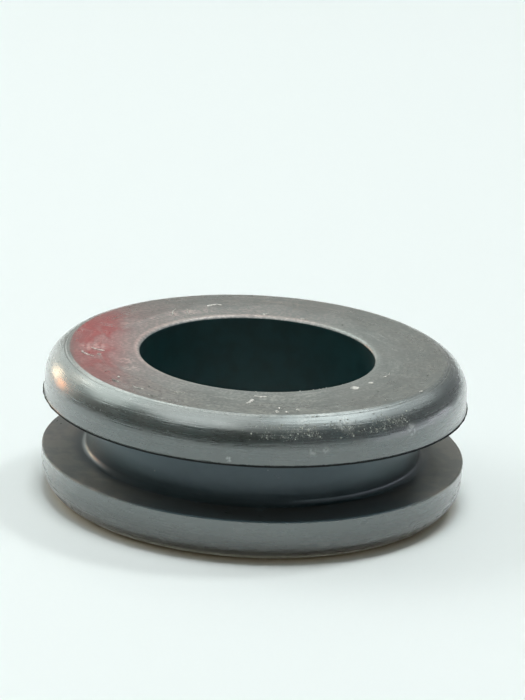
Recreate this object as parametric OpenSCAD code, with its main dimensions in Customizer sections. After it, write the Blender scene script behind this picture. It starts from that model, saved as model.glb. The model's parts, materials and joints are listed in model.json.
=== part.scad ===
// Rubber grommet: a moulded bush that snaps into a round hole in a panel and guards a cable or hose.
// The bore axis is Z, and the origin is the centre of the lower flat face. Lengths are in millimetres.

/* [Bore] */
// Diameter of the bore that the cable passes through
bore_d = 25; // [16:0.5:30]
// Rounding of the bore's rim at both faces
rim_r = 0.4; // [0.1:0.1:1]

/* [Flanges] */
// Outer diameter of both flanges, without the flash
flange_d = 45; // [42:0.5:60]
// Thickness of each flange
flange_t = 4.9; // [3.9:0.1:9]
// Height of the rounded shoulder, which is part of the flange's thickness
shoulder_h = 3.2; // [1.6:0.1:3.3]
// Radius of the shoulder's arc, which meets the flat face at a crease
shoulder_r = 3.4; // [3.3:0.1:5]
// Draft of the flange's outer wall in degrees, narrowing towards the flat face
wall_draft = 1; // [0:0.5:3]
// Rounding of the lower flange's inner edge
edge_r = 0.15; // [0.05:0.05:0.4]

/* [Groove] */
// Diameter of the neck at the bottom of the groove
groove_d = 35.5; // [32:0.5:38]
// Width of the groove, which is the thickest panel that it takes
groove_w = 5.9; // [3:0.1:12]
// Fillet where the neck meets each flange
root_r = 0.6; // [0.2:0.1:1.2]

/* [Flash] */
// How far the moulding flash stands out at the upper flange's inner edge
flash_out = 0.15; // [0.05:0.05:0.4]
// Thickness of the flash
flash_t = 0.12; // [0.06:0.02:0.3]

/* [Hidden] */

// Radii, measured from the bore axis
bore_r = bore_d / 2;
flange_r = flange_d / 2;
groove_r = groove_d / 2;
// Heights, measured from the lower flat face
total_h = 2 * flange_t + groove_w;
upper_z = flange_t + groove_w;
// Outer wall of a flange, measured from the flange's inner face
wall_h = flange_t - shoulder_h;
wall_top_r = flange_r - wall_h * tan(wall_draft);
// Centre of the shoulder's arc, which leaves the wall without a kink
arc_r = wall_top_r - shoulder_r * cos(wall_draft);
arc_z = wall_h - shoulder_r * sin(wall_draft);
// Where the shoulder's arc meets the flat face
crease_r = arc_r + sqrt(pow(shoulder_r, 2) - pow(flange_t - arc_z, 2));
// Centre of the inner edge's rounding, which touches the inner face and the wall
edge_c = flange_r - edge_r * tan(wall_draft) - edge_r / cos(wall_draft);
// How far a cutter or a filler runs past the surface that it meets
overlap = 0.3;
// Facets of a full turn, of the shoulder's circle and of the small roundings
turn_fn = 96;
shoulder_fn = 72;
rounding_fn = 24;

// Half section of a flange, with its inner face on the radius axis and its flat face above
module flange_section() {
    polygon([[bore_r, 0], [flange_r, 0], [wall_top_r, wall_h], [bore_r, wall_h]]);
    translate([bore_r, 0])
        square([crease_r - bore_r, flange_t]);
    intersection() {
        translate([arc_r, arc_z])
            circle(r = shoulder_r, $fn = shoulder_fn);
        translate([arc_r, wall_h])
            square([flange_r - arc_r, shoulder_h]);
    }
}

// Material between a square corner at the origin and the arc that rounds or fills it
module corner(r) {
    difference() {
        translate([-overlap, -overlap])
            square(r + overlap);
        translate([r, r])
            circle(r = r, $fn = rounding_fn);
    }
}

// Material that the rounding takes off a flange's inner edge
module inner_edge() {
    reach = edge_r + overlap;
    difference() {
        polygon([
            [edge_c, edge_r],
            [edge_c, -overlap],
            [flange_r + overlap, -overlap],
            [edge_c + reach * cos(wall_draft), edge_r + reach * sin(wall_draft)]
        ]);
        translate([edge_c, edge_r])
            circle(r = edge_r, $fn = rounding_fn);
    }
}

// Lower flange, upside down under the groove, with its inner edge rounded
module lower_flange_section() {
    translate([0, flange_t])
        mirror([0, 1])
            difference() {
                flange_section();
                inner_edge();
            }
}

// Upper flange, with the flash that the mould's parting line leaves on its inner edge
module upper_flange_section() {
    translate([0, upper_z]) {
        flange_section();
        translate([flange_r - overlap, 0])
            square([overlap + flash_out, flash_t]);
    }
}

// Neck between the flanges, with a fillet at each end of the groove
module neck_section() {
    translate([bore_r, 0])
        square([groove_r - bore_r, total_h]);
    translate([groove_r, flange_t])
        corner(root_r);
    translate([groove_r, upper_z])
        mirror([0, 1])
            corner(root_r);
}

// Whole half section, with the bore's rim rounded at both faces
module grommet_section() {
    difference() {
        union() {
            lower_flange_section();
            neck_section();
            upper_flange_section();
        }
        translate([bore_r, 0])
            corner(rim_r);
        translate([bore_r, total_h])
            mirror([0, 1])
                corner(rim_r);
    }
}

// The grommet, moulded in one piece
module grommet() {
    color("#33373a")
        rotate_extrude($fn = turn_fn)
            grommet_section();
}

grommet();
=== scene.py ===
import json
import math

import bpy
from mathutils import Matrix, Vector


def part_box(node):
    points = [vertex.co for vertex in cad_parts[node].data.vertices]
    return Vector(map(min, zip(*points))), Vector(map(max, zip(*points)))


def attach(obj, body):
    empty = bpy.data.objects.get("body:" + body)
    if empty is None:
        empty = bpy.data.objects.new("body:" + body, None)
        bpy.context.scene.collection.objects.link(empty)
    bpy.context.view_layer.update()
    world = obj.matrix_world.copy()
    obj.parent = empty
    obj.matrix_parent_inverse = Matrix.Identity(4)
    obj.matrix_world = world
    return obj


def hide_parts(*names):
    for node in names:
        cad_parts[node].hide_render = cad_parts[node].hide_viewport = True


# Looks of a moulded black rubber grommet: two flanges, a groove for the panel and a straight bore.
# Lengths are in millimetres up to the point where a mesh or a light is made, which is in metres.

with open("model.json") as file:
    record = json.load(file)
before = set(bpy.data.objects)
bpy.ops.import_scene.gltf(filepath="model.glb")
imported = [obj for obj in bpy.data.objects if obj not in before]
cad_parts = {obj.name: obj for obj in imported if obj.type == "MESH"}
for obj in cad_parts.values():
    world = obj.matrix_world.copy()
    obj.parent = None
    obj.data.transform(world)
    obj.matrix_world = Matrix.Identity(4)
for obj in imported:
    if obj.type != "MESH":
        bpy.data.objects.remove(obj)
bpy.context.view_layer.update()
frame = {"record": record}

MM = 0.001
# Overall sizes, from the frame
LOWEST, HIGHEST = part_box("grommet")
MOUNTS = {mount["name"]: mount for mount in frame["record"]["mounts"]}
BORE_R = MOUNTS["cable_bore"]["dims"]["r_mm"]
TOTAL_H = (HIGHEST.z - LOWEST.z) / MM
REACH_R = HIGHEST.x / MM
# Moulding flash at the upper flange's inner edge: how far it stands out, and how high its root is
FLASH_OUT = 0.15
FLASH_ROOT = 0.3
# Flanges: thickness, rounded shoulder, drafted wall and the rounding of the lower one's inner edge
FLANGE_R = REACH_R - FLASH_OUT
FLANGE_T = 4.9
SHOULDER_H = 3.2
SHOULDER_R = 3.4
WALL_DRAFT = 1
EDGE_R = 0.15
# Bore rim, groove and the fillets at its root
RIM_R = 0.4
GROOVE_R = 17.75
GROOVE_W = TOTAL_H - 2 * FLANGE_T
ROOT_R = 0.6
UPPER_Z = FLANGE_T + GROOVE_W
# Crease between the shoulder and the flat face: a fine bead, and the witness line of the mould beside it
BEAD_R = 0.07
WITNESS_OUT = 0.4
WITNESS_W = 0.16
WITNESS_DEPTH = 0.03

# Steps round a full turn of the body, and the longest step along its section
TURN_STEPS = 360
FLAT_STEP = 0.42


def linear(code):
    """Linear colour of an sRGB hex value."""
    parts = [int(code[i:i + 2], 16) / 255 for i in (1, 3, 5)]
    return [p / 12.92 if p <= 0.04045 else ((p + 0.055) / 1.055) ** 2.4 for p in parts] + [1.0]


def add(tree, kind, settings=None, values=None, links=None):
    """Adds a node, with its settings, its sockets' values and what its sockets are linked from."""
    node = tree.nodes.new(kind)
    for name, value in (settings or {}).items():
        setattr(node, name, value)
    for socket, value in (values or {}).items():
        node.inputs[socket].default_value = value
    for socket, source in (links or {}).items():
        tree.links.new(source, node.inputs[socket])
    return node


def maths(tree, operation, *terms):
    """The result of a Math node on sockets and numbers."""
    node = add(tree, "ShaderNodeMath", {"operation": operation})
    for index, term in enumerate(terms):
        if isinstance(term, bpy.types.NodeSocket):
            tree.links.new(term, node.inputs[index])
        else:
            node.inputs[index].default_value = term
    return node.outputs[0]


def smooth_step(tree, value, start, end):
    """0 where a value is at start, 1 where it is at end, and smooth between."""
    ends = {"To Min": 0.0, "To Max": 1.0} if start < end else {"To Min": 1.0, "To Max": 0.0}
    return add(tree, "ShaderNodeMapRange", {"interpolation_type": "SMOOTHSTEP"},
               {"From Min": min(start, end), "From Max": max(start, end), **ends}, {"Value": value}).outputs[0]


# Section of the body. A point is (radius, height, share of the flash's fray)

def around(centre, radius, angle):
    """The point at an angle round a centre, in degrees from outwards to upwards."""
    turn = math.radians(angle)
    return (centre[0] + radius * math.cos(turn), centre[1] + radius * math.sin(turn))


def arc(centre, radius, start, end, steps):
    """Points of an arc from one angle to another."""
    return [around(centre, radius, start + (end - start) * step / steps) for step in range(steps + 1)]


def straight(start, end):
    """Points between two ends, which aren't repeated, with a close one by each to hold the edge's shading."""
    length = math.dist(start, end)
    hold = min(0.05, length / 4)
    inner = length - 2 * hold
    count = max(1, math.ceil(inner / FLAT_STEP))
    shares = [(hold + inner * step / count) / length for step in range(count + 1)]
    return [(start[0] + (end[0] - start[0]) * s, start[1] + (end[1] - start[1]) * s) for s in shares]


def shoulder():
    """The shoulder from the drafted wall to the crease, with the witness line pressed into it."""
    draft = math.radians(WALL_DRAFT)
    wall_h = FLANGE_T - SHOULDER_H
    wall_top_r = FLANGE_R - wall_h * math.tan(draft)
    centre = (wall_top_r - SHOULDER_R * math.cos(draft), wall_h - SHOULDER_R * math.sin(draft))
    crease = math.degrees(math.asin((FLANGE_T - centre[1]) / SHOULDER_R))
    per_mm = math.degrees(1 / SHOULDER_R)
    # Angles at which the witness line starts, is deepest and ends
    line = crease - WITNESS_OUT * per_mm
    half = WITNESS_W / 2 * per_mm
    points = arc(centre, SHOULDER_R, WALL_DRAFT, line - 3 * half, 30)
    for offset, depth in ((-2, 0), (-1.2, 0.02), (-0.8, 0.3), (-0.3, 0.9), (0, 1), (0.3, 0.9), (0.8, 0.3), (1.2, 0.02), (2, 0)):
        points.append(around(centre, SHOULDER_R - WITNESS_DEPTH * depth, line + offset * half))
    # The bead that rounds the crease, tangent to the flat face and close to tangent to the shoulder
    bead = (centre[0] + SHOULDER_R * math.cos(math.radians(crease)) - BEAD_R, FLANGE_T - BEAD_R)
    points.append(around(centre, SHOULDER_R, crease - 0.12 * per_mm))
    points += arc(bead, BEAD_R, crease - 10, 90, 5)
    return points


def rim():
    """The bore's rim at a flat face, from the face down into the bore."""
    return arc((BORE_R + RIM_R, FLANGE_T - RIM_R), RIM_R, 90, 180, 8)


def flange(edge):
    """A flange from its inner edge to the bore, with its height measured from its inner face."""
    outline = list(edge)
    top = shoulder()
    face = rim()
    outline += straight(outline[-1], top[0]) + top
    outline += straight(top[-1], face[0]) + face
    return outline


def lower_edge():
    """The lower flange's inner edge, rounded."""
    draft = math.radians(WALL_DRAFT)
    centre = (FLANGE_R - EDGE_R * math.tan(draft) - EDGE_R / math.cos(draft), EDGE_R)
    return arc(centre, EDGE_R, -90, WALL_DRAFT, 6)


def flash():
    """The moulding flash: a thin fin on the upper flange's inner edge, round at its tip."""
    return [
        (FLANGE_R - 0.10, 0.0),
        (FLANGE_R - 0.02, 0.0),
        (FLANGE_R + 0.06, 0.02),
        (FLANGE_R + 0.12, 0.06),
        (FLANGE_R + FLASH_OUT, 0.11),
        (FLANGE_R + 0.13, 0.155),
        (FLANGE_R + 0.07, 0.185),
        (FLANGE_R + 0.02, 0.21),
        (FLANGE_R - 0.003, 0.25),
        (FLANGE_R - FLASH_ROOT * math.tan(math.radians(WALL_DRAFT)), FLASH_ROOT),
    ]


def section():
    """The whole closed section, anticlockwise from the lower flange's inner edge, as (radius, height)."""
    lower = [(r, FLANGE_T - h) for r, h in flange(lower_edge())]
    upper = [(r, UPPER_Z + h) for r, h in flange(flash())]
    bore = straight(lower[-1], upper[-1])
    low_root = arc((GROOVE_R + ROOT_R, FLANGE_T + ROOT_R), ROOT_R, 180, 270, 8)
    high_root = arc((GROOVE_R + ROOT_R, UPPER_Z - ROOT_R), ROOT_R, 90, 180, 8)
    groove = straight(upper[0], high_root[0]) + high_root
    groove += straight(high_root[-1], low_root[0]) + low_root
    groove += straight(low_root[-1], lower[0])
    return lower + bore + upper[::-1] + groove


def section_mesh():
    """The section as a ring of edges, with the share of the flash's fray at each point."""
    points = section()
    mesh = bpy.data.meshes.new("section")
    count = len(points)
    mesh.from_pydata([(r * MM, 0, z * MM) for r, z in points], [(i, (i + 1) % count) for i in range(count)], [])
    fray = mesh.attributes.new("fray", "FLOAT", "POINT")
    for item, (r, z) in zip(fray.data, points):
        near = UPPER_Z - 0.01 <= z <= UPPER_Z + FLASH_ROOT
        item.value = max(0.0, (r - FLANGE_R) / FLASH_OUT) if near else 0.0
    return mesh


def tree_input(tree, name, kind, value=None):
    """A named input of a Geometry Nodes tree. Returns its identifier, by which a modifier sets it."""
    socket = tree.interface.new_socket(name, in_out="INPUT", socket_type=kind)
    if value is not None:
        socket.default_value = value
    return socket.identifier


def turned_body_tree():
    """Turns the section about the bore's axis, makes the skin slightly uneven and frays the flash."""
    tree = bpy.data.node_groups.new("turned_body", "GeometryNodeTree")
    ids = {
        "section": tree_input(tree, "Section", "NodeSocketGeometry"),
        "steps": tree_input(tree, "Steps round", "NodeSocketInt", TURN_STEPS),
        "uneven": tree_input(tree, "Unevenness", "NodeSocketFloat", 0.00004),
        "wave": tree_input(tree, "Wave length", "NodeSocketFloat", 0.009),
        "fray": tree_input(tree, "Flash fray", "NodeSocketFloat", 0.00006),
        "seed": tree_input(tree, "Seed", "NodeSocketFloat", 3.0),
        "material": tree_input(tree, "Rubber", "NodeSocketMaterial"),
        "matt": tree_input(tree, "Matt rubber", "NodeSocketMaterial"),
        "bore": tree_input(tree, "Bore rubber", "NodeSocketMaterial"),
        "flash_painted_shade": tree_input(tree, "Torn flash", "NodeSocketMaterial"),
    }
    tree.interface.new_socket("Body", in_out="OUTPUT", socket_type="NodeSocketGeometry")
    inputs = add(tree, "NodeGroupInput").outputs

    # Each point of the section remembers its radius and height
    place = add(tree, "ShaderNodeSeparateXYZ", links={0: add(tree, "GeometryNodeInputPosition").outputs[0]})
    with_radius = add(tree, "GeometryNodeStoreNamedAttribute", {"data_type": "FLOAT"}, {"Name": "from_axis"},
                      {"Geometry": inputs["Section"], "Value": place.outputs["X"]})
    with_height = add(tree, "GeometryNodeStoreNamedAttribute", {"data_type": "FLOAT"}, {"Name": "above_base"},
                      {"Geometry": with_radius.outputs[0], "Value": place.outputs["Z"]})
    profile = add(tree, "GeometryNodeMeshToCurve", links={"Mesh": with_height.outputs[0]})

    # Each point of the circle remembers its angle
    circle = add(tree, "GeometryNodeCurvePrimitiveCircle", {"mode": "RADIUS"}, {"Radius": 0.02},
                 {"Resolution": inputs["Steps round"]})
    share = add(tree, "ShaderNodeMath", {"operation": "DIVIDE"},
                links={0: add(tree, "GeometryNodeInputIndex").outputs[0], 1: inputs["Steps round"]})
    angle = add(tree, "ShaderNodeMath", {"operation": "MULTIPLY"}, {1: 2 * math.pi}, {0: share.outputs[0]})
    path = add(tree, "GeometryNodeStoreNamedAttribute", {"data_type": "FLOAT"}, {"Name": "turn"},
               {"Geometry": circle.outputs[0], "Value": angle.outputs[0]})
    swept = add(tree, "GeometryNodeCurveToMesh", links={"Curve": path.outputs[0], "Profile Curve": profile.outputs[0]})

    # The swept mesh takes its place from the remembered radius, height and angle
    radius, height, turn, fray = [
        add(tree, "GeometryNodeInputNamedAttribute", {"data_type": "FLOAT"}, {"Name": name}).outputs[0]
        for name in ("from_axis", "above_base", "turn", "fray")]
    round_noise = add(tree, "ShaderNodeTexNoise", {"noise_dimensions": "2D"}, {"Scale": 14.0, "Detail": 4.0})
    cosine = add(tree, "ShaderNodeMath", {"operation": "COSINE"}, links={0: turn})
    sine = add(tree, "ShaderNodeMath", {"operation": "SINE"}, links={0: turn})
    heading = add(tree, "ShaderNodeCombineXYZ", links={0: cosine.outputs[0], 1: sine.outputs[0]})
    tree.links.new(heading.outputs[0], round_noise.inputs["Vector"])
    ragged = add(tree, "ShaderNodeMapRange", {"interpolation_type": "SMOOTHSTEP"},
                 {"From Min": 0.35, "From Max": 0.65, "To Min": -1.0, "To Max": 0.0}, {"Value": round_noise.outputs["Fac"]})
    pull = add(tree, "ShaderNodeMath", {"operation": "MULTIPLY"}, links={0: ragged.outputs[0], 1: fray})
    pull_out = add(tree, "ShaderNodeMath", {"operation": "MULTIPLY_ADD"},
                   links={0: pull.outputs[0], 1: inputs["Flash fray"], 2: radius})
    flat_place = add(tree, "ShaderNodeVectorMath", {"operation": "SCALE"},
                     links={0: heading.outputs[0], "Scale": pull_out.outputs[0]})
    lift = add(tree, "ShaderNodeCombineXYZ", links={2: height})
    whole_place = add(tree, "ShaderNodeVectorMath", {"operation": "ADD"},
                      links={0: flat_place.outputs[0], 1: lift.outputs[0]})
    turned = add(tree, "GeometryNodeSetPosition", links={"Geometry": swept.outputs[0], "Position": whole_place.outputs[0]})

    # Slow unevenness along the normal, none at the face that the grommet rests on
    here = add(tree, "GeometryNodeInputPosition").outputs[0]
    by_length = add(tree, "ShaderNodeMath", {"operation": "DIVIDE"}, {0: 1.0}, {1: inputs["Wave length"]})
    scaled = add(tree, "ShaderNodeVectorMath", {"operation": "SCALE"}, links={0: here, "Scale": by_length.outputs[0]})
    slow = add(tree, "ShaderNodeTexNoise", {"noise_dimensions": "4D"}, {"Scale": 1.0, "Detail": 1.0},
               {"Vector": scaled.outputs[0], "W": inputs["Seed"]})
    centred = add(tree, "ShaderNodeMath", {"operation": "SUBTRACT"}, {1: 0.5}, {0: slow.outputs["Fac"]})
    loose = add(tree, "ShaderNodeMapRange", {"interpolation_type": "SMOOTHSTEP"},
                {"From Min": 0.0, "From Max": 2.5 * MM}, {"Value": height})
    amount = add(tree, "ShaderNodeMath", {"operation": "MULTIPLY"}, links={0: centred.outputs[0], 1: loose.outputs[0]})
    depth = add(tree, "ShaderNodeMath", {"operation": "MULTIPLY"}, links={0: amount.outputs[0], 1: inputs["Unevenness"]})
    push = add(tree, "ShaderNodeVectorMath", {"operation": "SCALE"},
               links={0: add(tree, "GeometryNodeInputNormal").outputs[0], "Scale": depth.outputs[0]})
    uneven = add(tree, "GeometryNodeSetPosition", links={"Geometry": turned.outputs[0], "Offset": push.outputs[0]})

    smooth = add(tree, "GeometryNodeSetShadeSmooth", links={"Geometry": uneven.outputs[0]})
    real = add(tree, "GeometryNodeRealizeInstances", links={"Geometry": smooth.outputs[0]})
    painted = add(tree, "GeometryNodeSetMaterial", links={"Geometry": real.outputs[0], "Material": inputs["Rubber"]})

    # The groove and the bore keep the mould's matt finish, and the ragged flash is painted dark: a painted shade for
    # the dark line under the upper flange
    off_middle = maths(tree, "ABSOLUTE", maths(tree, "SUBTRACT", height, TOTAL_H / 2 * MM))
    in_groove = maths(tree, "LESS_THAN", off_middle, (GROOVE_W / 2 + 0.7 * EDGE_R) * MM)
    in_bore = maths(tree, "LESS_THAN", radius, (BORE_R + 0.03) * MM)
    matt = add(tree, "GeometryNodeSetMaterial",
               links={"Geometry": painted.outputs[0], "Selection": maths(tree, "GREATER_THAN", in_groove, 0.5),
                      "Material": inputs["Matt rubber"]})
    bored = add(tree, "GeometryNodeSetMaterial",
                links={"Geometry": matt.outputs[0], "Selection": maths(tree, "GREATER_THAN", in_bore, 0.5),
                       "Material": inputs["Bore rubber"]})
    whole = add(tree, "GeometryNodeSetMaterial",
                links={"Geometry": bored.outputs[0], "Selection": maths(tree, "GREATER_THAN", fray, 0.1),
                       "Material": inputs["Torn flash"]})
    add(tree, "NodeGroupOutput", links={0: whole.outputs[0]})
    return tree, ids


def made_by(tree, values, mesh, name):
    """A plain mesh object made by a Geometry Nodes tree from a mesh. Values go by the sockets' identifiers."""
    source = bpy.data.objects.new(name + "_source", mesh)
    bpy.context.scene.collection.objects.link(source)
    modifier = source.modifiers.new(name, "NODES")
    modifier.node_group = tree
    for identifier, value in values.items():
        modifier[identifier] = value
    graph = bpy.context.evaluated_depsgraph_get()
    plain = bpy.data.meshes.new_from_object(source.evaluated_get(graph), depsgraph=graph)
    plain.name = name
    bpy.data.objects.remove(source)
    made = bpy.data.objects.new(name, plain)
    bpy.context.scene.collection.objects.link(made)
    return made


# Dust on the upper face and the shoulder

# Chips that can be told apart: radius, azimuth from the front to the right in degrees, length and width
CHIPS = [
    (14.35, 46, 1.05, 0.95),
    (14.5, 56, 0.6, 0.6),
    (19.9, 60, 0.7, 0.25),
    (19.0, 7, 0.35, 0.65),
    (19.1, 10, 0.3, 0.4),
    (17.9, 8, 0.25, 0.4),
    (18.5, 14, 0.4, 0.5),
    (17.0, -79, 0.3, 0.5),
    (17.7, -54, 0.25, 0.3),
]
# Rubbed strokes: radius and azimuth of the start and the end, and the widths there
STROKES = [
    ((18.3, -44), (18.1, -40), 0.10, 0.16),
    ((19.1, -35), (18.9, -32), 0.14, 0.08),
    ((16.7, -30), (16.2, -27), 0.08, 0.14),
    ((18.6, -50), (18.7, -53), 0.12, 0.08),
    ((13.3, 178), (13.7, 176), 0.30, 0.16),
    ((13.2, 160), (13.15, 157), 0.20, 0.10),
    ((14.9, -141), (16.3, -146), 0.16, 0.10),
    ((14.2, -147), (15.6, -150), 0.10, 0.16),
    ((18.7, -82), (17.7, -77), 0.26, 0.10),
    ((17.6, -86), (16.4, -83), 0.10, 0.24),
    ((16.8, -3), (15.6, -1), 0.22, 0.46),
    ((16.3, -160), (16.4, -165), 0.44, 0.24),
    ((14.6, 66), (14.7, 72), 0.14, 0.08),
    ((14.35, 0), (14.4, 4), 0.30, 0.42),
]
STROKE_STEP = 0.09
CHIP_THICK = 0.08
# Scuffed patches: azimuth, radius from the axis, height, reach and strength
SCUFFS = [
    (26, 21.3, 15.0, 1.3, 1.0),
    (14, 20.9, 15.2, 0.9, 0.8),
    (47, 22.3, 13.3, 0.9, 1.0),
    (16, 22.5, 12.5, 0.6, 0.9),
    (19.5, 22.5, 12.6, 0.5, 0.8),
    (-6, 22.5, 11.5, 0.45, 1.0),
    (66, 18.7, TOTAL_H, 1.6, 0.35),
    (57, 19.0, TOTAL_H, 1.2, 0.35),
    (70, 14.8, TOTAL_H, 1.2, 0.35),
    (-61, 15.0, TOTAL_H, 1.5, 1.0),
    (-70, 14.6, TOTAL_H, 1.6, 1.0),
    (-87, 17.4, TOTAL_H, 2.4, 1.0),
    (-118, 16.2, TOTAL_H, 1.0, 0.8),
    (-124, 15.7, TOTAL_H, 1.1, 0.9),
    (-131, 15.2, TOTAL_H, 1.1, 0.9),
    (-142, 14.9, TOTAL_H, 1.8, 1.0),
    (-150, 14.9, TOTAL_H, 1.8, 1.0),
    (-157, 14.6, TOTAL_H, 1.3, 0.8),
]


def on_face(radius, azimuth):
    """A place on the upper face, in metres."""
    turn = math.radians(azimuth)
    return (radius * math.sin(turn) * MM, -radius * math.cos(turn) * MM, TOTAL_H * MM)


def chips_mesh():
    """A point for each chip and each grain of a stroke, with its length, width and direction."""
    points = [(radius, azimuth, long, wide) for radius, azimuth, long, wide in CHIPS]
    for start, end, first, last in STROKES:
        length = math.dist(on_face(*start), on_face(*end)) / MM
        count = math.ceil(length / STROKE_STEP)
        for step in range(count + 1):
            share = step / count
            # The stroke bows a little to one side
            bow = 0.12 * math.sin(math.pi * share) * length
            radius = start[0] + (end[0] - start[0]) * share + bow
            azimuth = start[1] + (end[1] - start[1]) * share
            size = first + (last - first) * share
            points.append((radius, azimuth, size, size))
    mesh = bpy.data.meshes.new("chips")
    mesh.from_pydata([on_face(radius, azimuth) for radius, azimuth, _, _ in points], [], [])
    for name, index in (("chip_long", 2), ("chip_wide", 3), ("chip_turn", 1)):
        data = mesh.attributes.new(name, "FLOAT", "POINT").data
        for item, point in zip(data, points):
            item.value = math.radians(point[index]) if name == "chip_turn" else point[index] * MM / 2
    return mesh


def dust_tree():
    """Lays the chips on the face and scatters crumbs of dust, thicker on the front of the shoulder."""
    tree = bpy.data.node_groups.new("settled_dust", "GeometryNodeTree")
    ids = {
        "chips": tree_input(tree, "Chips", "NodeSocketGeometry"),
        "body": tree_input(tree, "Body", "NodeSocketObject"),
        "sparse": tree_input(tree, "Crumbs per square metre", "NodeSocketFloat", 1.6e5),
        "dense": tree_input(tree, "Grit per square metre", "NodeSocketFloat", 9.0e7),
        "size": tree_input(tree, "Crumb radius", "NodeSocketFloat", 0.00006),
        "seed": tree_input(tree, "Seed", "NodeSocketInt", 11),
        "material": tree_input(tree, "Dust", "NodeSocketMaterial"),
        "grit": tree_input(tree, "Grit", "NodeSocketMaterial"),
    }
    tree.interface.new_socket("Crumbs", in_out="OUTPUT", socket_type="NodeSocketGeometry")
    inputs = add(tree, "NodeGroupInput").outputs
    body = add(tree, "GeometryNodeObjectInfo", links={"Object": inputs["Body"]}).outputs["Geometry"]
    place = add(tree, "GeometryNodeInputPosition").outputs[0]
    parts = add(tree, "ShaderNodeSeparateXYZ", links={0: place}).outputs
    up = add(tree, "ShaderNodeSeparateXYZ", links={0: add(tree, "GeometryNodeInputNormal").outputs[0]}).outputs["Z"]
    high = smooth_step(tree, parts["Z"], (UPPER_Z + 0.5) * MM, (UPPER_Z + 2.0) * MM)
    facing_up = maths(tree, "MULTIPLY", high, smooth_step(tree, up, 0.05, 0.5))

    # The grit lies on the shoulder, from the front to the right
    azimuth = maths(tree, "ARCTAN2", parts["X"], maths(tree, "MULTIPLY", parts["Y"], -1.0))
    in_front = maths(tree, "MULTIPLY", smooth_step(tree, azimuth, math.radians(-4), math.radians(9)),
                     smooth_step(tree, azimuth, math.radians(52), math.radians(40)))
    on_shoulder = maths(tree, "MULTIPLY", smooth_step(tree, up, 0.34, 0.50), smooth_step(tree, up, 0.86, 0.68))
    patch = add(tree, "ShaderNodeTexNoise", values={"Scale": 1 / (1.1 * MM), "Detail": 2.0}, links={"Vector": place})
    patchy = smooth_step(tree, patch.outputs["Fac"], 0.38, 0.60)
    grit = maths(tree, "MULTIPLY", maths(tree, "MULTIPLY", in_front, on_shoulder), maths(tree, "MULTIPLY", patchy, high))
    density = maths(tree, "ADD", maths(tree, "MULTIPLY", facing_up, inputs["Crumbs per square metre"]),
                    maths(tree, "MULTIPLY", grit, inputs["Grit per square metre"]))
    spread = add(tree, "GeometryNodeDistributePointsOnFaces", {"distribute_method": "RANDOM"},
                 links={"Mesh": body, "Density": density, "Seed": inputs["Seed"]})

    # Most crumbs are small and a few are large
    draw = add(tree, "FunctionNodeRandomValue", {"data_type": "FLOAT"}, links={"Seed": inputs["Seed"]}).outputs[1]
    skewed = maths(tree, "MULTIPLY_ADD", maths(tree, "POWER", draw, 7.0), 1.5, 0.42)
    size = maths(tree, "MULTIPLY", skewed, inputs["Crumb radius"])
    turn = add(tree, "FunctionNodeRandomValue", {"data_type": "FLOAT_VECTOR"}, {"Max": (6.28, 6.28, 6.28)},
               {"Seed": inputs["Seed"]}).outputs[0]
    crumb = add(tree, "GeometryNodeMeshIcoSphere", values={"Radius": 1.0, "Subdivisions": 1}).outputs[0]
    crumbs = add(tree, "GeometryNodeInstanceOnPoints",
                 links={"Points": spread.outputs[0], "Instance": crumb, "Rotation": turn, "Scale": size})
    small = add(tree, "GeometryNodeStoreNamedAttribute", {"data_type": "FLOAT", "domain": "INSTANCE"},
                {"Name": "small", "Value": 1.0}, {"Geometry": crumbs.outputs[0]})

    long, wide, heading = [
        add(tree, "GeometryNodeInputNamedAttribute", {"data_type": "FLOAT"}, {"Name": name}).outputs[0]
        for name in ("chip_long", "chip_wide", "chip_turn")]
    flat_size = add(tree, "ShaderNodeCombineXYZ", values={2: CHIP_THICK * MM}, links={0: long, 1: wide})
    flat_turn = add(tree, "ShaderNodeCombineXYZ", links={2: heading})
    pebble = add(tree, "GeometryNodeMeshIcoSphere", values={"Radius": 1.0, "Subdivisions": 2}).outputs[0]
    chip_points = add(tree, "GeometryNodeMeshToPoints", links={"Mesh": inputs["Chips"]})
    chips = add(tree, "GeometryNodeInstanceOnPoints",
                links={"Points": chip_points.outputs[0], "Instance": pebble, "Rotation": flat_turn.outputs[0],
                       "Scale": flat_size.outputs[0]})
    both = add(tree, "GeometryNodeJoinGeometry")
    tree.links.new(small.outputs[0], both.inputs[0])
    tree.links.new(chips.outputs[0], both.inputs[0])
    real = add(tree, "GeometryNodeRealizeInstances", links={"Geometry": both.outputs[0]})

    # Each crumb is a little out of round
    rough = add(tree, "ShaderNodeTexNoise", values={"Scale": 1 / (0.12 * MM), "Detail": 1.0})
    offset = add(tree, "ShaderNodeVectorMath", {"operation": "SUBTRACT"}, {1: (0.5, 0.5, 0.5)}, {0: rough.outputs["Color"]})
    shift = add(tree, "ShaderNodeVectorMath", {"operation": "SCALE"}, {"Scale": 0.00006}, {0: offset.outputs[0]})
    lumpy = add(tree, "GeometryNodeSetPosition", links={"Geometry": real.outputs[0], "Offset": shift.outputs[0]})
    painted = add(tree, "GeometryNodeSetMaterial", links={"Geometry": lumpy.outputs[0], "Material": inputs["Dust"]})
    is_small = add(tree, "GeometryNodeInputNamedAttribute", {"data_type": "FLOAT"}, {"Name": "small"}).outputs[0]
    duller = add(tree, "GeometryNodeSetMaterial",
                 links={"Geometry": painted.outputs[0], "Selection": maths(tree, "GREATER_THAN", is_small, 0.5),
                        "Material": inputs["Grit"]})
    add(tree, "NodeGroupOutput", links={0: duller.outputs[0]})
    return tree, ids


# Materials

def noise(tree, vector, detail=2.0, **settings):
    """Noise at a vector whose unit is one feature."""
    return add(tree, "ShaderNodeTexNoise", settings, {"Scale": 1.0, "Detail": detail}, {"Vector": vector}).outputs["Fac"]


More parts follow.
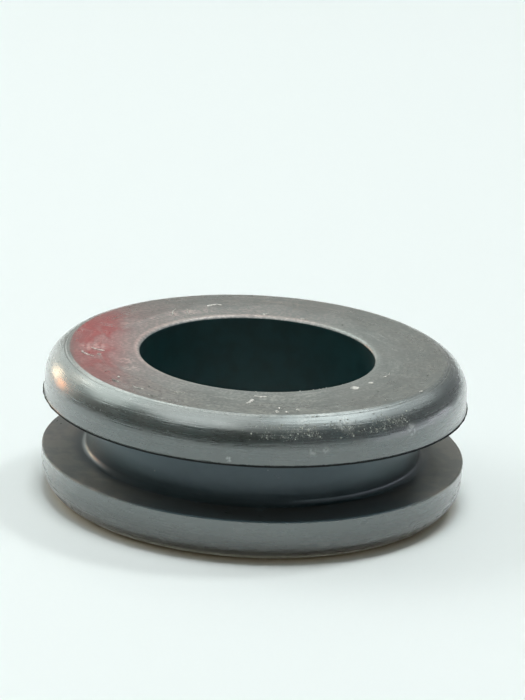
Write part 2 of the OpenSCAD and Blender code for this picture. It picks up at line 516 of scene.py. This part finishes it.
def stretched(tree, vector, *scales):
    """A vector with each of its parts scaled."""
    return add(tree, "ShaderNodeVectorMath", {"operation": "MULTIPLY"}, {1: scales}, {0: vector}).outputs[0]


def mixed(tree, factor, first, second):
    """A colour between two, each a socket or an sRGB hex value."""
    node = add(tree, "ShaderNodeMix", {"data_type": "RGBA"}, links={"Factor": factor})
    for name, colour in (("A", first), ("B", second)):
        if isinstance(colour, str):
            node.inputs[name].default_value = linear(colour)
        else:
            tree.links.new(colour, node.inputs[name])
    return node.outputs[2]


def new_material(name):
    """An empty node material, and its place vector in millimetres."""
    material = bpy.data.materials.new(name)
    material.use_nodes = True
    tree = material.node_tree
    tree.nodes.clear()
    place = add(tree, "ShaderNodeTexCoord").outputs["Object"]
    return material, tree, stretched(tree, place, 1000, 1000, 1000)


def round_and_along(tree, in_mm):
    """The radius and height of a place, its heading from the axis, and a vector that runs round and along the skin."""
    parts = add(tree, "ShaderNodeSeparateXYZ", links={0: in_mm}).outputs
    level = add(tree, "ShaderNodeCombineXYZ", links={0: parts["X"], 1: parts["Y"]}).outputs[0]
    radius = add(tree, "ShaderNodeVectorMath", {"operation": "LENGTH"}, links={0: level}).outputs["Value"]
    heading = add(tree, "ShaderNodeVectorMath", {"operation": "NORMALIZE"}, links={0: level}).outputs[0]
    head = add(tree, "ShaderNodeSeparateXYZ", links={0: heading}).outputs
    off_middle = maths(tree, "ABSOLUTE", maths(tree, "SUBTRACT", parts["Z"], TOTAL_H / 2))
    along = maths(tree, "SUBTRACT", radius, off_middle)
    skin = add(tree, "ShaderNodeCombineXYZ", links={0: head["X"], 1: head["Y"], 2: along}).outputs[0]
    return radius, parts["Z"], head, skin


def ridges(tree, field, width):
    """Thin lines where a noise field crosses its middle."""
    return smooth_step(tree, maths(tree, "ABSOLUTE", maths(tree, "SUBTRACT", field, 0.5)), width, width / 5)


def rubber_material():
    """Vulcanised black rubber, compression moulded: dark, semi-gloss, with dust and rubbed patches on top."""
    material, tree, in_mm = new_material("vulcanised_black_rubber")
    radius, height, head, skin = round_and_along(tree, in_mm)

    # Upper face: rubbed smears, most at the left and the back near the bore, and a pale rim round the bore, partly
    # rubbed and partly a painted highlight on its rounded edge
    on_top = smooth_step(tree, height, TOTAL_H - 0.25, TOTAL_H - 0.02)
    leftwards = maths(tree, "MULTIPLY_ADD", head["X"], -1.4, head["Y"])
    left_back = smooth_step(tree, leftwards, -1.6, 1.2)
    painted_red_left = smooth_step(tree, leftwards, -0.1, 1.3)
    behind = maths(tree, "MULTIPLY", smooth_step(tree, head["Y"], -0.6, 0.2), smooth_step(tree, head["X"], 0.75, 0.35))
    cloud = noise(tree, stretched(tree, in_mm, 0.3, 0.3, 0.3), 6.0)
    smear = noise(tree, stretched(tree, skin, 5.0, 5.0, 0.8), 5.0)
    ragged = maths(tree, "MULTIPLY_ADD", maths(tree, "ADD", cloud, smear), -7.0, maths(tree, "ADD", radius, 7.0))
    ring = maths(tree, "MULTIPLY", smooth_step(tree, ragged, 17.2, 14.6), maths(tree, "MULTIPLY_ADD", left_back, 0.65, 0.4))
    rubbed = maths(tree, "MULTIPLY", ring, on_top)
    # Pale rim round the bore: partly rubbed, partly a painted highlight on its rounded edge
    rim = maths(tree, "MULTIPLY", smooth_step(tree, radius, BORE_R + 0.95, BORE_R + 0.45),
                smooth_step(tree, height, TOTAL_H - 0.45, TOTAL_H - 0.2))

    # Scuffs, in ragged patches
    speckle = noise(tree, stretched(tree, in_mm, 2.6, 2.6, 2.6), 4.0)
    drift = noise(tree, stretched(tree, in_mm, 0.35, 0.35, 0.35), 3.0)
    powder = maths(tree, "MULTIPLY_ADD", speckle, 0.5, maths(tree, "MULTIPLY", drift, 0.5))
    scuff = None
    for azimuth, out, up, reach, strength in SCUFFS:
        turn = math.radians(azimuth)
        centre = (out * math.sin(turn), -out * math.cos(turn), up)
        away = add(tree, "ShaderNodeVectorMath", {"operation": "DISTANCE"}, {1: centre}, {0: in_mm}).outputs["Value"]
        patch = maths(tree, "MULTIPLY", smooth_step(tree, away, reach, 0.2 * reach), strength)
        scuff = patch if scuff is None else maths(tree, "MAXIMUM", scuff, patch)
    scuff = maths(tree, "MULTIPLY", scuff, smooth_step(tree, speckle, 0.38, 0.60))

    # Fine marks: flow lines round the axis, arcs scratched by turning, and a few straight scratches
    broad_flow = noise(tree, stretched(tree, skin, 2.6, 2.6, 2.4), 4.0)
    fine_flow = noise(tree, stretched(tree, skin, 6.0, 6.0, 6.5), 3.0)
    flow = maths(tree, "MULTIPLY_ADD", fine_flow, 0.45, maths(tree, "MULTIPLY", broad_flow, 0.55))
    flow_relief = maths(tree, "MULTIPLY", flow, maths(tree, "MULTIPLY_ADD", on_top, -1.5, 2.2))
    arcs = maths(tree, "MULTIPLY", ridges(tree, noise(tree, stretched(tree, skin, 1.6, 1.6, 2.2), 2.0), 0.016),
                 smooth_step(tree, noise(tree, stretched(tree, skin, 5.0, 5.0, 0.7), 1.0), 0.48, 0.62))
    tilted = add(tree, "ShaderNodeVectorRotate", {"rotation_type": "Z_AXIS"}, {"Angle": math.radians(28)}, {"Vector": in_mm})
    lines = maths(tree, "MULTIPLY", ridges(tree, noise(tree, stretched(tree, tilted.outputs[0], 0.16, 2.6, 2.6), 1.0), 0.012),
                  smooth_step(tree, noise(tree, stretched(tree, in_mm, 0.5, 0.5, 0.5), 1.0), 0.5, 0.62))
    scratches = maths(tree, "MAXIMUM", arcs, lines)

    # Dust: a thin haze on the upper face, and specks too small to be modelled
    cells = add(tree, "ShaderNodeTexVoronoi", {"feature": "F1"}, {"Scale": 1.0},
                {"Vector": stretched(tree, in_mm, 2.2, 2.2, 2.2)}).outputs
    chance = add(tree, "ShaderNodeSeparateColor", links={0: cells["Color"]}).outputs
    spot = maths(tree, "MULTIPLY", smooth_step(tree, cells["Distance"], 0.16, 0.06), smooth_step(tree, chance[0], 0.78, 0.9))
    high = smooth_step(tree, height, UPPER_Z + 0.3, UPPER_Z + 2.4)
    specks = maths(tree, "MULTIPLY", maths(tree, "MULTIPLY", spot, chance[1]), high)
    wiped = noise(tree, stretched(tree, skin, 3.2, 3.2, 1.9), 6.0)
    film = maths(tree, "MULTIPLY_ADD", smooth_step(tree, wiped, 0.42, 0.66), 0.12,
                 maths(tree, "MULTIPLY", smooth_step(tree, powder, 0.40, 0.62), 0.11))
    film = maths(tree, "MULTIPLY", film, smooth_step(tree, speckle, 0.36, 0.60))
    in_front = maths(tree, "MULTIPLY", smooth_step(tree, head["Y"], -0.3, -0.8), smooth_step(tree, head["X"], 0.75, 0.25))
    haze = maths(tree, "MULTIPLY", on_top, maths(tree, "MULTIPLY", film, maths(tree, "MULTIPLY_ADD", in_front, 0.9, 1.0)))

    grainy = maths(tree, "MULTIPLY_ADD", smooth_step(tree, speckle, 0.40, 0.66), 0.19, 0.03)
    pale = maths(tree, "MAXIMUM", maths(tree, "MULTIPLY", rubbed, grainy), maths(tree, "MULTIPLY", scratches, maths(tree, "MULTIPLY_ADD", on_top, 0.22, 0.04)))
    pale = maths(tree, "MAXIMUM", pale, maths(tree, "MULTIPLY", maths(tree, "MULTIPLY", rim, maths(tree, "MULTIPLY_ADD", left_back, 0.7, 0.3)),
                                             maths(tree, "MULTIPLY_ADD", grainy, 1.6, 0.24)))
    pale = maths(tree, "MAXIMUM", pale, maths(tree, "MULTIPLY", scuff, 0.5))
    pale = maths(tree, "MAXIMUM", maths(tree, "MAXIMUM", pale, haze), maths(tree, "MULTIPLY", specks, 0.6))
    mottle = noise(tree, stretched(tree, in_mm, 0.8, 0.8, 0.8), 4.0)
    tint = smooth_step(tree, noise(tree, stretched(tree, in_mm, 0.3, 0.3, 0.3), 3.0), 0.35, 0.65)
    # Painted shade: the lower flange is painted darker and browner towards its bottom, standing for the table's
    # contact shadow that it reflects; the coat is thinned there too
    painted_bottom_shade = maths(tree, "MULTIPLY", smooth_step(tree, height, 5.0, 1.4), smooth_step(tree, radius, GROOVE_R, GROOVE_R + 2.0))
    skirt = mixed(tree, painted_bottom_shade, mixed(tree, tint, "#1A2C2B", "#222B28"), "#231E17")
    # Painted reflection: just above the table the lower shoulder is painted pale, standing for the lit table that it
    # reflects
    painted_table_reflection = maths(tree, "MULTIPLY", smooth_step(tree, height, 1.0, 0.35), smooth_step(tree, radius, GROOVE_R, GROOVE_R + 2.0))
    plain = mixed(tree, painted_table_reflection, skirt, "#BCBFB3")
    # On the upper face the pale marks are tinted pink to the left and the back: a painted tint of the red reflection
    # there
    warmth = mixed(tree, on_top, "#C9CFCC", mixed(tree, maths(tree, "MAXIMUM", painted_red_left, behind), "#BEC1B6", "#D2B8AE"))
    colour = mixed(tree, pale, plain, warmth)

    streaks = maths(tree, "MULTIPLY", flow, maths(tree, "MULTIPLY_ADD", on_top, -0.22, 0.32))
    gloss = maths(tree, "MULTIPLY_ADD", mottle, 0.12, maths(tree, "ADD", streaks, maths(tree, "MULTIPLY_ADD", on_top, 0.12, 0.06)))
    dull = maths(tree, "MULTIPLY_ADD", maths(tree, "MAXIMUM", maths(tree, "MAXIMUM", rubbed, rim), scuff), 0.30, gloss)
    roughness = maths(tree, "MULTIPLY_ADD", specks, 0.3, dull)

    grain = noise(tree, stretched(tree, in_mm, 5.0, 5.0, 5.0), 3.0)
    relief = maths(tree, "MULTIPLY_ADD", grain, 0.3, flow_relief)
    carved = maths(tree, "SUBTRACT", relief, maths(tree, "MULTIPLY", scratches, maths(tree, "MULTIPLY_ADD", on_top, 0.2, 0.1)))
    bump = add(tree, "ShaderNodeBump", values={"Strength": 0.6, "Distance": 0.03 * MM}, links={"Height": carved})
    surface = add(tree, "ShaderNodeBsdfPrincipled",
                  values={"IOR": 2.3, "Specular Tint": linear("#EFF6F6"), "Coat Weight": 1.0, "Coat Roughness": 0.16,
                          "Coat IOR": 1.6, "Sheen Weight": 0.42, "Sheen Roughness": 0.35},
                  links={"Base Color": colour, "Roughness": roughness, "Normal": bump.outputs["Normal"],
                         "Coat Normal": bump.outputs["Normal"],
                         "Coat Weight": maths(tree, "MULTIPLY_ADD", painted_bottom_shade, -0.9, 1.0)})
    add(tree, "ShaderNodeOutputMaterial", links={"Surface": surface.outputs[0]})
    return material


def matt_rubber_material():
    """The same rubber where nothing rubs or polishes it, in the groove: matt, with the mould's lines, and painted
    light on the shelf and on the sides of the neck.
    """
    material, tree, in_mm = new_material("matt_black_rubber")
    radius, height, head, skin = round_and_along(tree, in_mm)
    lines = noise(tree, stretched(tree, skin, 1.4, 1.4, 3.5), 4.0)
    cloud = noise(tree, stretched(tree, in_mm, 0.5, 0.5, 0.5), 4.0)
    cells = add(tree, "ShaderNodeTexVoronoi", {"feature": "F1"}, {"Scale": 1.0},
                {"Vector": stretched(tree, in_mm, 1.1, 1.1, 1.1)}).outputs
    chance = add(tree, "ShaderNodeSeparateColor", links={0: cells["Color"]}).outputs
    specks = maths(tree, "MULTIPLY", smooth_step(tree, cells["Distance"], 0.10, 0.04), smooth_step(tree, chance[0], 0.8, 0.95))
    # Painted light: the shelf of the lower flange is painted paler than the neck, except at the front, which stays
    # dark where the upper flange shades it
    to_right = maths(tree, "MAXIMUM", head["X"], 0.0)
    off_front = smooth_step(tree, maths(tree, "MULTIPLY_ADD", to_right, -0.25, head["Y"]), -0.94, -0.66)
    painted_light_on_shelf = maths(tree, "MULTIPLY", smooth_step(tree, radius, GROOVE_R + 0.6, GROOVE_R + 2.0),
                     maths(tree, "MULTIPLY", smooth_step(tree, height, 8.0, 6.0), off_front))
    left_front = maths(tree, "MULTIPLY_ADD", head["X"], -0.375, maths(tree, "MULTIPLY", head["Y"], -0.927))
    front_root = maths(tree, "MULTIPLY", smooth_step(tree, height, FLANGE_T + 1.0, FLANGE_T + 0.5),
                       maths(tree, "MULTIPLY", smooth_step(tree, radius, GROOVE_R + 0.8, GROOVE_R + 0.6),
                             smooth_step(tree, left_front, 0.72, 0.86)))
    neck = mixed(tree, smooth_step(tree, cloud, 0.35, 0.65), "#0B262B", "#1A3034")
    # Painted sheen: the neck is painted paler at its sides above its root, standing for the grazing reflection there
    painted_sheen_sides = smooth_step(tree, maths(tree, "ABSOLUTE", head["X"]), 0.35, 0.75)
    off_root = smooth_step(tree, height, FLANGE_T + 0.6, FLANGE_T + 2.0)
    neck = mixed(tree, maths(tree, "MULTIPLY", painted_sheen_sides, off_root), neck, "#33494B")
    shelf = mixed(tree, smooth_step(tree, cloud, 0.4, 0.6), "#62655E", "#7E7A70")
    plain = mixed(tree, painted_light_on_shelf, neck, shelf)
    colour = mixed(tree, maths(tree, "MULTIPLY", specks, 0.35), plain, "#A9A7A2")
    satin = maths(tree, "MULTIPLY_ADD", front_root, 0.4, maths(tree, "MULTIPLY_ADD", lines, 0.12, 0.17))
    at_edge = smooth_step(tree, radius, FLANGE_R - 0.3, FLANGE_R - 0.1)
    roughness = maths(tree, "MULTIPLY_ADD", at_edge, 0.35, maths(tree, "MULTIPLY_ADD", cloud, 0.2, satin))
    grain = noise(tree, stretched(tree, in_mm, 6.0, 6.0, 6.0), 3.0)
    calm = maths(tree, "MULTIPLY", smooth_step(tree, height, FLANGE_T + 1.4, FLANGE_T + 0.7),
                 smooth_step(tree, radius, GROOVE_R + 2.0, GROOVE_R + 1.0))
    relief = maths(tree, "MULTIPLY", maths(tree, "MULTIPLY_ADD", grain, 0.4, maths(tree, "MULTIPLY", lines, 0.5)),
                   maths(tree, "MULTIPLY_ADD", calm, -0.85, 1.0))
    bump = add(tree, "ShaderNodeBump", values={"Strength": 0.6, "Distance": 0.03 * MM}, links={"Height": relief})
    surface = add(tree, "ShaderNodeBsdfPrincipled", values={"IOR": 1.87, "Specular Tint": linear("#E6F2FC"), "Sheen Weight": 0.3, "Sheen Roughness": 0.4},
                  links={"Base Color": colour, "Roughness": roughness, "Normal": bump.outputs["Normal"]})
    add(tree, "ShaderNodeOutputMaterial", links={"Surface": surface.outputs[0]})
    return material


def bore_rubber_material():
    """The same rubber on the bore's wall, which a steel core pin moulded: dull and dark, with drawing lines."""
    material, tree, in_mm = new_material("dull_bore_rubber")
    radius, height, head, skin = round_and_along(tree, in_mm)
    cloud = noise(tree, stretched(tree, in_mm, 0.5, 0.5, 0.5), 4.0)
    lines = noise(tree, stretched(tree, skin, 9.0, 9.0, 0.35), 3.0)
    colour = mixed(tree, smooth_step(tree, cloud, 0.35, 0.65), "#0A3133", "#103A3C")
    relief = maths(tree, "MULTIPLY_ADD", lines, 0.5, maths(tree, "MULTIPLY", cloud, 0.3))
    bump = add(tree, "ShaderNodeBump", values={"Strength": 0.5, "Distance": 0.02 * MM}, links={"Height": relief})
    rough = maths(tree, "MULTIPLY_ADD", cloud, 0.15, 0.42)
    surface = add(tree, "ShaderNodeBsdfPrincipled", values={"IOR": 1.5},
                  links={"Base Color": colour, "Roughness": rough, "Normal": bump.outputs["Normal"]})
    add(tree, "ShaderNodeOutputMaterial", links={"Surface": surface.outputs[0]})
    return material


def grain_material(name, dark, light, size, roughness):
    """A matt material whose colour varies from grain to grain, with the grain's own relief."""
    material, tree, in_mm = new_material(name)
    grain = noise(tree, stretched(tree, in_mm, 1 / size, 1 / size, 1 / size), 3.0)
    bump = add(tree, "ShaderNodeBump", values={"Strength": 0.7, "Distance": 0.2 * size * MM}, links={"Height": grain})
    rough = maths(tree, "MULTIPLY_ADD", grain, 0.1, roughness - 0.05)
    surface = add(tree, "ShaderNodeBsdfPrincipled", values={"IOR": 1.4},
                  links={"Base Color": mixed(tree, smooth_step(tree, grain, 0.3, 0.7), dark, light),
                         "Roughness": rough, "Normal": bump.outputs["Normal"]})
    add(tree, "ShaderNodeOutputMaterial", links={"Surface": surface.outputs[0]})
    return material


def table_material():
    """A matt white table, warmer next to the grommet: a painted warm shade there."""
    material, tree, in_mm = new_material("matt_white_table")
    out = add(tree, "ShaderNodeVectorMath", {"operation": "LENGTH"}, links={0: in_mm}).outputs["Value"]
    # Painted warm shade in a ring round the grommet's base
    beside = maths(tree, "MULTIPLY", smooth_step(tree, out, 22.8, 20.6), smooth_step(tree, out, 15.0, 18.0))
    colour = mixed(tree, beside, "#EFF9F8", "#EBE4D6")
    surface = add(tree, "ShaderNodeBsdfPrincipled", values={"Roughness": 0.6}, links={"Base Color": colour})
    add(tree, "ShaderNodeOutputMaterial", links={"Surface": surface.outputs[0]})
    return material


# Stage

def floor():
    """A wide pale floor at the height that the grommet rests on."""
    mesh = bpy.data.meshes.new("floor")
    half = 3.0
    mesh.from_pydata([(-half, -half, 0), (half, -half, 0), (half, half, 0), (-half, half, 0)], [], [(0, 1, 2, 3)])
    mesh.materials.append(table_material())
    made = bpy.data.objects.new("floor", mesh)
    bpy.context.scene.collection.objects.link(made)


def soft_lamp(name, place, size, radiance, code, lights):
    """A rectangular lamp aimed at the grommet, where radiance 1 is white. It lights matt or glossy surfaces."""
    lamp = bpy.data.lights.new(name, "AREA")
    lamp.shape = "RECTANGLE"
    lamp.size, lamp.size_y = size
    lamp.energy = radiance * math.pi * size[0] * size[1]
    lamp.color = linear(code)[:3]
    made = bpy.data.objects.new(name, lamp)
    made.location = place
    made.rotation_euler = (-Vector(place)).to_track_quat("-Z", "Y").to_euler()
    made.visible_diffuse = lights == "matt"
    made.visible_glossy = lights == "glossy"
    bpy.context.scene.collection.objects.link(made)
    return made


def ceiling_panel(name, left, right, front, back, radiance, code):
    """A soft box a metre above the table that faces straight down, with its edges from the bore's axis."""
    middle = ((left + right) / 2, (front + back) / 2, 1.0)
    made = soft_lamp(name, middle, (right - left, back - front), radiance, code, "glossy")
    made.rotation_euler = (0, 0, 0)


def towards(azimuth, elevation, distance=1.0):
    """A place seen from the grommet: azimuth in degrees from the camera's side to the right, and elevation."""
    across = distance * math.cos(math.radians(elevation))
    turn = math.radians(azimuth)
    return (across * math.sin(turn), -across * math.cos(turn), distance * math.sin(math.radians(elevation)))


def lamps():
    """Lamps that light the scene, and soft boxes that only the gloss of the rubber shows."""
    soft_lamp("overhead", (0.02, -0.08, 1.5), (0.4, 0.4), 21.5, "#FFFFFF", "matt")
    soft_lamp("room_fill", (0.0, 0.0, 2.0), (4.0, 4.0), 0.27, "#FFFFFF", "matt")
    soft_lamp("key", towards(125, 62, 1.5), (0.22, 0.22), 29.0, "#FFFFFF", "matt")
    soft_lamp("front_fill", towards(0, 26), (2.4, 0.8), 0.22, "#FFECD4", "matt")
    soft_lamp("window_fill", towards(-108, 36), (0.7, 0.6), 2.0, "#FFFFFF", "matt")
    ceiling_panel("ceiling_front_left", -0.78, -0.10, -0.64, -0.06, 2.5, "#F8FDFA")
    ceiling_panel("ceiling_left", -0.66, 0.02, -0.06, 0.50, 1.85, "#F8FDFA")
    ceiling_panel("ceiling_back_left", -0.28, 0.02, 0.50, 0.95, 1.25, "#F8FDFA")
    ceiling_panel("ceiling_front", -0.10, 0.50, -0.58, -0.04, 0.9, "#F8FDFA")
    ceiling_panel("ceiling_right", 0.09, 0.50, -0.04, 0.95, 3.3, "#F4FDFC")
    ceiling_panel("ceiling_corner", 0.50, 0.76, -0.05, 0.32, 3.3, "#F4FDFC")
    ceiling_panel("ceiling_back_right", 0.50, 1.20, 0.32, 1.40, 1.0, "#F4FDFC")
    soft_lamp("window_high", towards(-134, 44), (1.1, 0.38), 2.0, "#F4FFFA", "glossy")
    soft_lamp("window_low", towards(-139, 14), (0.85, 0.55), 0.72, "#F4FFFA", "glossy")
    soft_lamp("bulb_low", towards(-140, 8), (0.14, 0.26), 4.4, "#FFE2BA", "glossy")
    soft_lamp("bulb_orange", towards(-129, 5), (0.11, 0.22), 5.4, "#FF9E58", "glossy")
    soft_lamp("bulb_high", towards(-138, 33), (0.2, 0.2), 1.6, "#FFF6E4", "glossy")
    soft_lamp("wall_front", towards(32, 5.5), (1.2, 0.16), 0.42, "#F4FFFA", "glossy")
    soft_lamp("wall_right", (1.0, 0.1, 0.025), (1.2, 0.1), 2.6, "#F6F6FF", "glossy")


def red_card():
    """A red card beside the grommet, out of every view, that tints the reflection in the upper face."""
    mesh = bpy.data.meshes.new("red_card")
    left, right, low, high, back = [value * MM for value in (-21.1, -4.0, 24.7, 31.8, 38.0)]
    mesh.from_pydata([(left, back, low), (right, back, low), (right, back, high), (left, back, high)], [], [(0, 1, 2, 3)])
    material, tree, in_mm = new_material("red_card")
    across = add(tree, "ShaderNodeSeparateXYZ", links={0: in_mm}).outputs["X"]
    near = maths(tree, "MULTIPLY", smooth_step(tree, across, -16.6, -14.4), 0.74)
    fade = maths(tree, "MULTIPLY_ADD", smooth_step(tree, across, -14.4, -4.5), 0.26, near)
    red = add(tree, "ShaderNodeEmission", values={"Color": linear("#E83E48"), "Strength": 1.35})
    grey = add(tree, "ShaderNodeEmission", values={"Color": linear("#B4B6B0")})
    glow = add(tree, "ShaderNodeMixShader", links={0: fade, 1: red.outputs[0], 2: grey.outputs[0]})
    add(tree, "ShaderNodeOutputMaterial", links={"Surface": glow.outputs[0]})
    mesh.materials.append(material)
    made = bpy.data.objects.new("red_card", mesh)
    made.visible_camera = False
    made.visible_diffuse = False
    made.visible_shadow = False
    bpy.context.scene.collection.objects.link(made)


def room():
    """The world: pale to the camera, and for light a pale room with a dark side behind the camera."""
    world = bpy.data.worlds.new("room")
    bpy.context.scene.world = world
    world.use_nodes = True
    world.cycles_visibility.diffuse = False
    tree = world.node_tree
    tree.nodes.clear()
    way = add(tree, "ShaderNodeSeparateXYZ", links={0: add(tree, "ShaderNodeTexCoord").outputs["Generated"]})
    back = add(tree, "ShaderNodeMapRange", {"interpolation_type": "SMOOTHSTEP"},
               {"From Min": -0.2, "From Max": 0.9, "To Min": 0.0, "To Max": 1.0}, {"Value": way.outputs["Y"]})
    right = add(tree, "ShaderNodeMapRange", {"interpolation_type": "SMOOTHSTEP"},
                {"From Min": 0.0, "From Max": 0.5, "To Min": 0.0, "To Max": 1.0}, {"Value": way.outputs["X"]})
    left = add(tree, "ShaderNodeMapRange", {"interpolation_type": "SMOOTHSTEP"},
               {"From Min": -0.8, "From Max": -0.2, "To Min": 1.0, "To Max": 0.0}, {"Value": way.outputs["X"]})
    front = add(tree, "ShaderNodeMix", {"data_type": "RGBA"},
                {"A": linear("#555553"), "B": linear("#7A7A76")}, {"Factor": left.outputs[0]})
    shade = add(tree, "ShaderNodeMix", {"data_type": "RGBA"},
                {"B": linear("#B4B6B0")}, {"Factor": back.outputs[0], "A": front.outputs[2]})
    corner = add(tree, "ShaderNodeMix", {"data_type": "RGBA"}, {"B": linear("#7E8082")},
                 {"Factor": right.outputs[0], "A": shade.outputs[2]})
    seen = add(tree, "ShaderNodeLightPath").outputs["Is Camera Ray"]
    lit = add(tree, "ShaderNodeBackground", links={"Color": corner.outputs[2]})
    backdrop = add(tree, "ShaderNodeBackground", values={"Color": linear("#F3FAF9")})
    both = add(tree, "ShaderNodeMixShader", links={0: seen, 1: lit.outputs[0], 2: backdrop.outputs[0]})
    add(tree, "ShaderNodeOutputWorld", links={"Surface": both.outputs[0]})


# Camera, fitted to the photograph's ellipses: a long lens, 18.3 degrees above the table, rolled by 3 degrees
PHOTO_H = 700
FOCAL_PX = 5000
SENSOR = 36
PITCH = math.radians(18.3)
ROLL = math.radians(3.03)
DISTANCE = 534.0
AIM_HEIGHT = FLANGE_T
AIM_RIGHT = 0.506
AIM_UP = 10.565


def camera():
    """The camera at the photograph's viewing angle."""
    data = bpy.data.cameras.new("camera")
    data.sensor_width = SENSOR
    data.lens = FOCAL_PX / PHOTO_H * SENSOR
    data.clip_start, data.clip_end = 0.05, 20
    made = bpy.data.objects.new("camera", data)
    right = Vector((1, 0, 0))
    up = Vector((0, math.sin(PITCH), math.cos(PITCH)))
    ahead = Vector((0, math.cos(PITCH), -math.sin(PITCH)))
    place = Vector((0, 0, AIM_HEIGHT)) + AIM_RIGHT * right + AIM_UP * up - DISTANCE * ahead
    turn = Matrix.Rotation(math.pi / 2 - PITCH, 4, "X") @ Matrix.Rotation(ROLL, 4, "Z")
    made.matrix_world = Matrix.Translation(place * MM) @ turn
    bpy.context.scene.collection.objects.link(made)
    bpy.context.scene.camera = made


camera()
floor()
room()
lamps()
red_card()

tree, ids = turned_body_tree()
# The flash's dark matt rubber is a painted shade, standing for the dark line under the upper flange
flash_painted_shade = grain_material("torn_rubber_flash", "#0C1112", "#1B2222", 0.15, 0.9)
rubbers = {ids["material"]: rubber_material(), ids["matt"]: matt_rubber_material(),
           ids["bore"]: bore_rubber_material(), ids["flash_painted_shade"]: flash_painted_shade}
body = made_by(tree, rubbers, section_mesh(), "grommet_body")
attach(body, "root")
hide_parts("grommet")

tree, ids = dust_tree()
dust = grain_material("settled_dust", "#9A9E98", "#F6F6F0", 0.35, 0.9)
grit = grain_material("settled_grit", "#6C736E", "#CDD2CA", 0.35, 0.9)
dusts = {ids["body"]: body, ids["material"]: dust, ids["grit"]: grit}
crumbs = made_by(tree, dusts, chips_mesh(), "dust_crumbs")
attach(crumbs, "root")

bpy.context.scene.view_settings.view_transform = "Standard"
